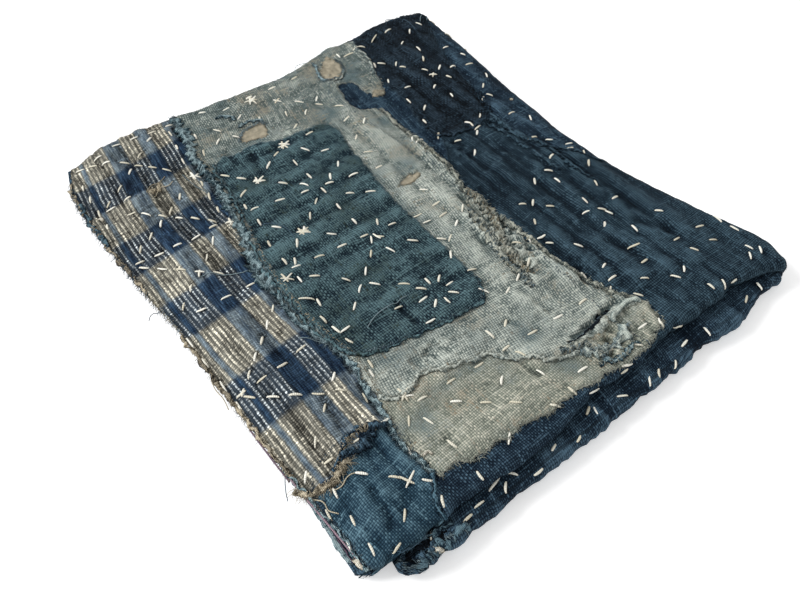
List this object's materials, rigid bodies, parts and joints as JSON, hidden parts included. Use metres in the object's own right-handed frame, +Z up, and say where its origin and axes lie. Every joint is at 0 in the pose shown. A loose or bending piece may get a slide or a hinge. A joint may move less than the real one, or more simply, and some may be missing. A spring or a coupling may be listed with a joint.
{
  "type": "folded patched cloth",
  "caption": "Thick stitched cloth of old indigo layers with patches, folded in quarters and lying flat.",
  "frame": {"origin": "under the middle of the folded stack, on the surface it lies on", "axes": "+X along the front folds towards the closed spine, +Y away from the front folds along the spine, +Z up out of the surface"},
  "size_m": [0.262, 0.3, 0.017],
  "materials": {
    "indigo_cotton": "matt coarse hand-woven cotton, worn and hand-stitched",
    "pale_cotton": "matt thin cotton faded to grey-green, frayed",
    "striped_cotton": "matt hand-woven cotton, blue-black with beige stripes",
    "stitch_thread": "matt loose off-white cotton thread"
  },
  "bodies": {
    "root": {"folded_cloth": "indigo_cotton"}
  },
  "joints": []
}
